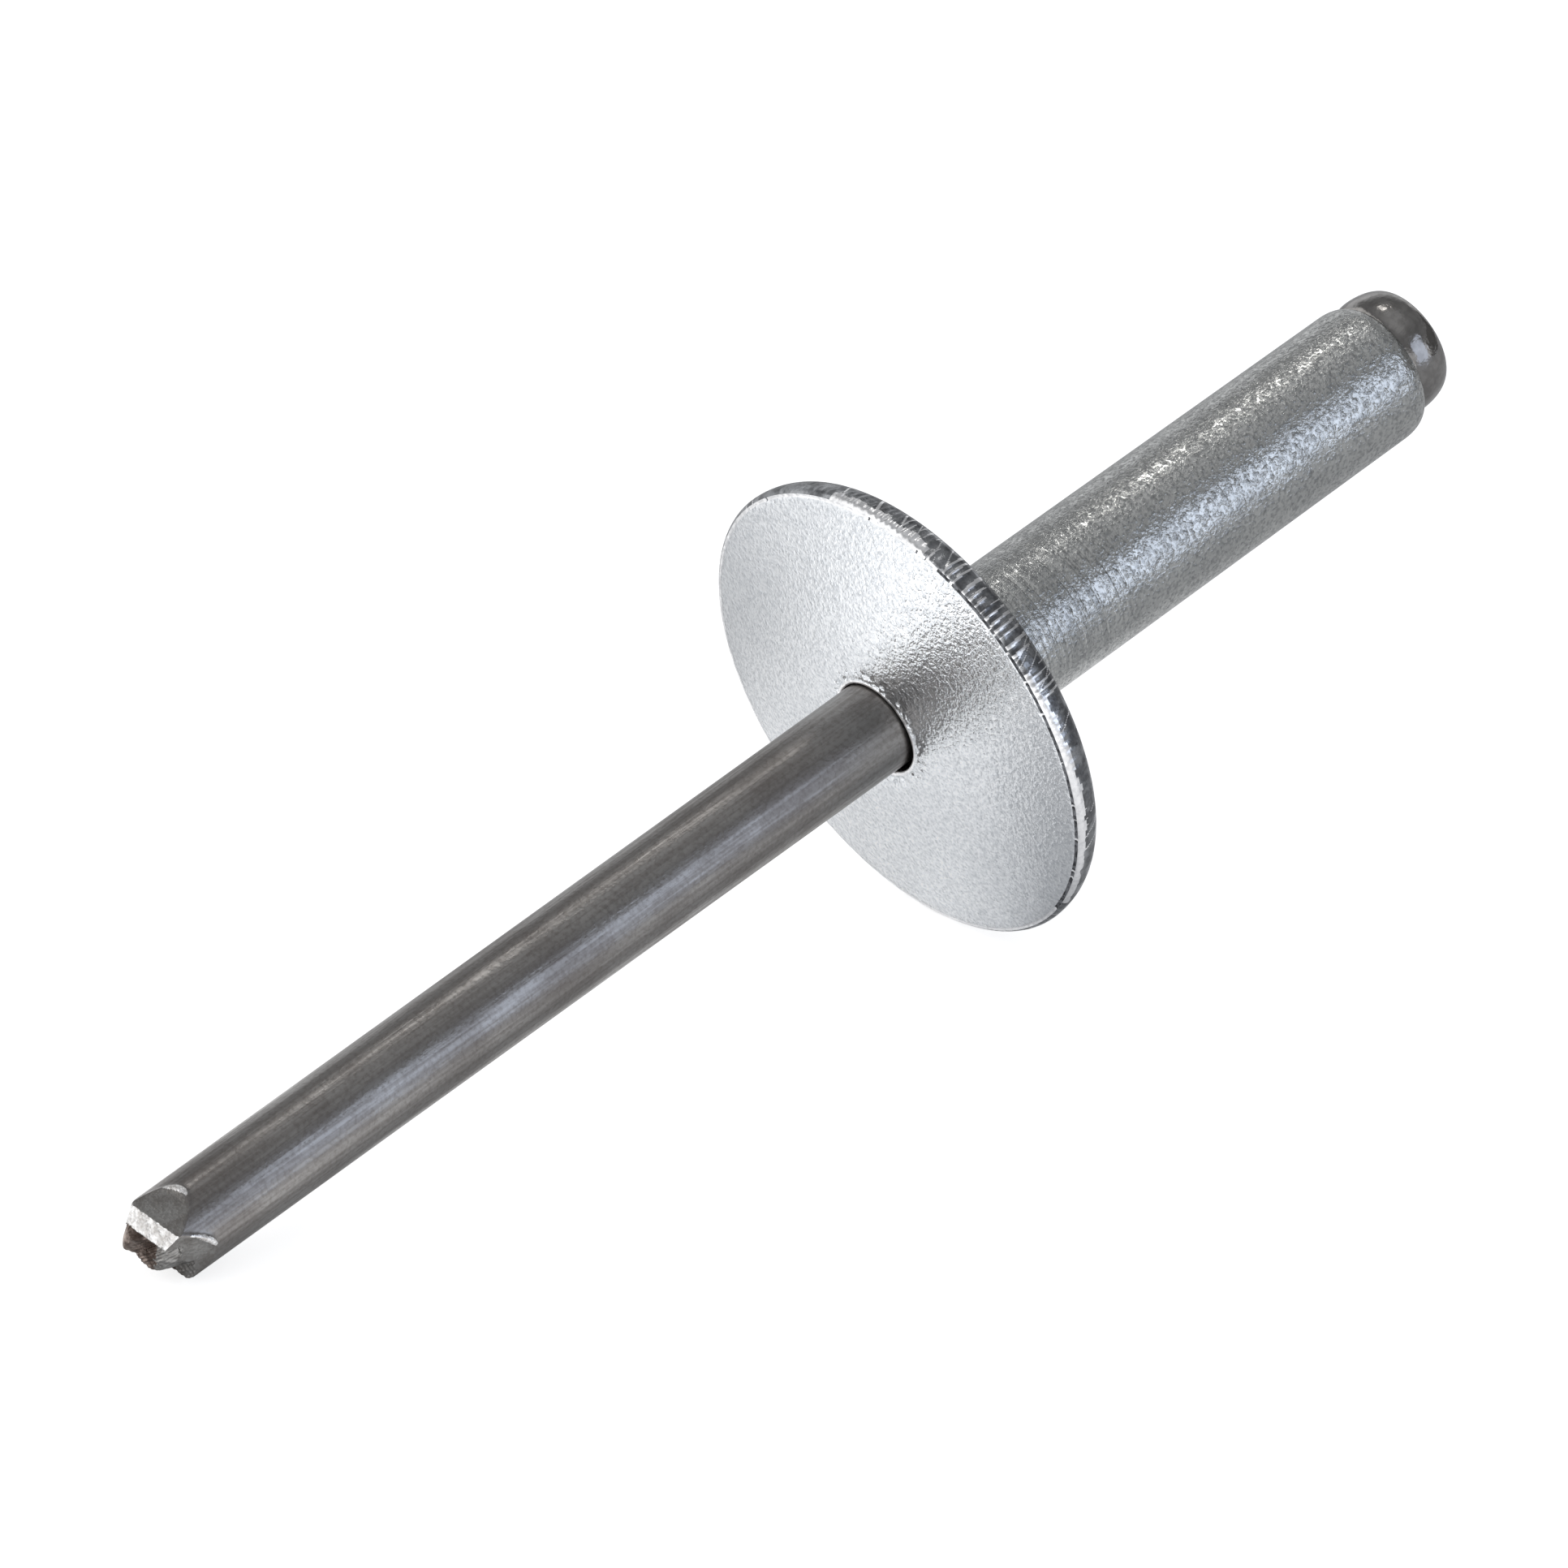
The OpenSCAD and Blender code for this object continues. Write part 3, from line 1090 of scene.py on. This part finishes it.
    def build(self) -> bpy.types.Object:
        """Meshes the mandrel and gives its zones their finishes.

        Returns:
            The mandrel as a Blender object.
        """
        s, n = self.s, self.segments
        turn = np.arange(n) / n * TURN
        start = s.pinch_start_z + 1.6
        parts = self.head(turn) + self.stem(turn, start) + self.tip(turn, start)
        head_top = np.array([[*s.head_mid, s.shank_l + s.head_h + s.head_crown_h]])
        tip_mid = np.array([[0.0, 0.0, float(self.end(np.zeros(1), np.zeros(1))[0])]])
        points = np.concatenate([*(ring for ring, _ in parts), head_top, tip_mid]) + np.array([*s.wire_mid, 0.0])
        quads = grid_faces(len(parts), n)[:, ::-1].tolist()
        top, tip, last = len(parts) * n, len(parts) * n + 1, (len(parts) - 1) * n
        fans = [[top, i, (i + 1) % n] for i in range(n)] + [[tip, last + (i + 1) % n, last + i] for i in range(n)]
        ends = (np.full(n, WireZone.HEAD), np.full(n, WireZone.SHEARED))
        zones = np.concatenate([*(zone for _, zone in parts[1:]), *ends])
        used = (DRAWN_STEEL, UPSET_STEEL, PINCHED_STEEL, TORN_STEEL_AND_LIP_HIGHLIGHT, SHEARED_STEEL)
        finishes = [finish.material(self.stance) for finish in used]
        return make_piece("mandrel_dressed", self.stance.lay(points), quads + fans, zones, finishes)


# ---------------------------------------------------------------- studio


@dataclass(frozen=True)
class Softbox:
    """A plain glowing panel that the camera does not see.

    Attributes:
        name: Name of the panel.
        azimuth: Direction of its middle round the object, in degrees from +X towards +Y.
        elevation: Direction of its middle above the ground, in degrees.
        width: Width in metres.
        height: Height in metres.
        strength: Radiance, where 1 is white.
        colour: Its colour, sRGB hex.
        distance: Distance from the object in metres.
    """

    name: str
    azimuth: float
    elevation: float
    width: float
    height: float
    strength: float
    colour: str = "#ffffff"
    distance: float = 0.6

    def build(self) -> None:
        """Sets the panel up, facing the object."""
        a, e = math.radians(self.azimuth), math.radians(self.elevation)
        towards = Vector((math.cos(a) * math.cos(e), math.sin(a) * math.cos(e), math.sin(e)))
        glow = bpy.data.materials.new(self.name)
        glow.use_nodes = True
        glow.node_tree.nodes.clear()
        emit = add(glow.node_tree, "ShaderNodeEmission", {"Color": linear(self.colour), "Strength": self.strength})
        add(glow.node_tree, "ShaderNodeOutputMaterial", links={"Surface": emit.outputs[0]})
        w, h = self.width / 2, self.height / 2
        points = np.array([(-w, -h, 0), (w, -h, 0), (w, h, 0), (-w, h, 0)])
        panel = make_piece(self.name, points, [[0, 1, 2, 3]], np.zeros(1), [glow])
        panel.rotation_mode = "QUATERNION"
        panel.rotation_quaternion = towards.to_track_quat("Z", "Y")
        panel.location = towards * self.distance
        panel.visible_camera = False
        panel.visible_shadow = False


@dataclass(frozen=True)
class Studio:
    """A pale floor, a plain dome of light, softboxes and the camera.

    Attributes:
        azimuth: Camera's place round the object, in degrees; 0 looks along +Y.
        elevation: Camera's height above the ground, in degrees.
        frame_mm: Width of what the picture shows, in millimetres.
        focal_mm: Focal length of the lens on a 36 mm sensor.
        aim_mm: The point at the middle of the picture, in millimetres.
        sky: Level of the dome by height, as (sine of the elevation, level).
        floor_half_m: Half of the floor's width, in metres.
        floor_drop_mm: How far the floor lies under the rivet, in millimetres.
        floor_lift: What the camera sees of the floor over the light that falls on it, which makes it white.
        floor_turn: Turn of the floor's levels round the object, in degrees.
        floor_span_mm: Half of the width over which its levels change, in millimetres.
        floor_painted_light_along: Painted light and shade of the floor in the metal by place along the rivet, as (mm,
            level).
        floor_painted_light_across: The same by place across it.
        panels: The softboxes.
    """

    azimuth: float = -43.633
    elevation: float = 29.49
    frame_mm: float = 48.658
    focal_mm: float = 1356.0
    aim_mm: tuple[float, float, float] = (1.368, 1.361, 6.083)
    sky: tuple = ((0.0, 0.9), (0.29, 0.85), (0.41, 0.36), (0.5, 0.27), (0.8, 0.33), (0.92, 0.5), (1.0, 0.56))
    floor_half_m: float = 2.0
    floor_drop_mm: float = 0.03
    floor_lift: float = 0.74
    floor_turn: float = -9.0
    floor_span_mm: float = 30.0
    floor_painted_light_along: tuple = (
        (-20, 1.35), (-16.5, 1.25), (-11, 0.85), (-3, 0.58), (5, 0.46),
        (9, 0.56), (16, 0.56), (21, 0.25), (28, 0.05),
    )
    floor_painted_light_across: tuple = (
        (-18, 1.0), (-12, 0.66), (-8, 0.6), (-6, 0.12), (-3.5, 0.1),
        (-1.6, 0.75), (0.5, 1.0), (12, 1.05), (17, 0.48), (26, 0.5),
    )
    panels: tuple[Softbox, ...] = (
        Softbox("lamp_panel", 48, 58, 0.09, 0.075, 6.2, "#fffdfa"),
        Softbox("window_panel", -66, 19, 0.36, 0.42, 1.65, "#e3edff"),
        Softbox("white_wall", 138, 20, 0.9, 0.58, 1.25),
        Softbox("dark_card", -14, 7, 0.62, 0.36, 0.16),
    )

    def camera(self) -> None:
        """Makes the camera at the photograph's angle and distance."""
        a, e = math.radians(self.azimuth), math.radians(self.elevation)
        back = Vector((math.sin(a) * math.cos(e), -math.cos(a) * math.cos(e), math.sin(e)))
        data = bpy.data.cameras.new("camera")
        data.sensor_width, data.lens = SENSOR_MM, self.focal_mm
        distance = self.frame_mm * MM * self.focal_mm / SENSOR_MM
        eye = bpy.data.objects.new("camera", data)
        eye.location = Vector(self.aim_mm) * MM + back * distance
        eye.rotation_mode = "QUATERNION"
        eye.rotation_quaternion = (-back).to_track_quat("-Z", "Y")
        data.clip_start, data.clip_end = distance * 0.1, distance * 10
        bpy.context.scene.collection.objects.link(eye)
        bpy.context.scene.camera = eye

    @staticmethod
    def ramp(tree: bpy.types.NodeTree, socket: bpy.types.NodeSocket, stops: tuple) -> bpy.types.NodeSocket:
        """Turns a place from 0 to 1 into a level of slightly cool grey.

        Args:
            tree: The tree that the ramp goes into.
            socket: The socket that gives the place.
            stops: Places and their levels.

        Returns:
            The socket that gives the level.
        """
        ramp = add(tree, "ShaderNodeValToRGB", links={0: socket})
        bands = ramp.color_ramp.elements
        while len(bands) < len(stops):
            bands.new(0.5)
        for band, (at, level) in zip(bands, stops):
            band.position, band.color = at, (0.97 * level, 0.98 * level, level, 1)
        return ramp.outputs[0]

    def floor(self) -> None:
        """Lays the white floor, which keeps the shadow. What the metal mirrors of it is painted with light and shade
        by place: brightest along the wire in front of the flange's face, darker near the flange and past the blind
        end, with a painted shadow strip beside the rivet on one side.
        """
        paint = bpy.data.materials.new("white_floor")
        paint.use_nodes = True
        tree = paint.node_tree
        tree.nodes.clear()
        path = add(tree, "ShaderNodeLightPath")
        rays = {0: path.outputs["Is Glossy Ray"], 1: path.outputs["Is Transmission Ray"]}
        mirrored = add(tree, "ShaderNodeMath", {"operation": "MAXIMUM"}, rays).outputs[0]
        place = add(tree, "ShaderNodeSeparateXYZ", links={0: add(tree, "ShaderNodeTexCoord").outputs["Object"]})
        level, span_mm = mirrored, self.floor_span_mm
        # The floor's glow for mirrored rays is painted light and shade, set by place along and across the rivet.
        for axis, stops in (("X", self.floor_painted_light_along), ("Y", self.floor_painted_light_across)):
            span = {"From Min": -span_mm * MM, "From Max": span_mm * MM}
            at = add(tree, "ShaderNodeMapRange", span, {"Value": place.outputs[axis]}).outputs["Result"]
            share = self.ramp(tree, at, tuple((0.5 + mm / (2 * span_mm), value) for mm, value in stops))
            level = add(tree, "ShaderNodeMath", {"operation": "MULTIPLY"}, {0: level, 1: share}).outputs[0]
        seen = {0: path.outputs["Is Camera Ray"], 2: level}
        lift = add(tree, "ShaderNodeMath", {"operation": "MULTIPLY_ADD", 1: self.floor_lift}, seen).outputs[0]
        matt = add(tree, "ShaderNodeBsdfDiffuse", {"Color": linear("#e6e6e6")})
        glow = add(tree, "ShaderNodeEmission", {"Color": (1, 1, 1, 1)}, {"Strength": lift})
        both = add(tree, "ShaderNodeAddShader", links={0: matt.outputs[0], 1: glow.outputs[0]})
        add(tree, "ShaderNodeOutputMaterial", links={"Surface": both.outputs[0]})
        half, drop = self.floor_half_m, self.floor_drop_mm * MM
        points = np.array([(-half, -half, -drop), (half, -half, -drop), (half, half, -drop), (-half, half, -drop)])
        floor = make_piece("floor", points, [[0, 1, 2, 3]], np.zeros(1), [paint])
        floor.rotation_euler = (0, 0, math.radians(self.floor_turn))

    def dome(self) -> None:
        """Lights the world: pale near the horizon, grey above it and a little lighter overhead."""
        world = bpy.data.worlds.new("dome")
        bpy.context.scene.world = world
        world.use_nodes = True
        tree = world.node_tree
        tree.nodes.clear()
        towards = add(tree, "ShaderNodeTexCoord").outputs["Generated"]
        up = add(tree, "ShaderNodeSeparateXYZ", links={0: towards}).outputs["Z"]
        glow = add(tree, "ShaderNodeBackground", {"Strength": 1.0}, {"Color": self.ramp(tree, up, self.sky)})
        add(tree, "ShaderNodeOutputWorld", links={"Surface": glow.outputs[0]})

    def build(self) -> None:
        """Sets up the camera, floor, dome and softboxes, and the plain view settings."""
        self.camera()
        self.floor()
        self.dome()
        for panel in self.panels:
            panel.build()
        bpy.context.scene.view_settings.view_transform = "Standard"


def main() -> None:
    """Builds the studio and the two pieces."""
    logging.basicConfig(level=logging.INFO, format="%(message)s")
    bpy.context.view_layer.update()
    Studio().build()
    s = Sizes()
    stance = Stance(s)
    body = RivetBody(s, stance).build()
    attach(body, "root")
    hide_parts("rivet_body")
    log.info("body: %d faces", len(body.data.polygons))
    wire = Mandrel(s, stance).build()
    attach(wire, "root")
    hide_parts("mandrel")
    log.info("mandrel: %d faces", len(wire.data.polygons))


if __name__ == "__main__":
    main()
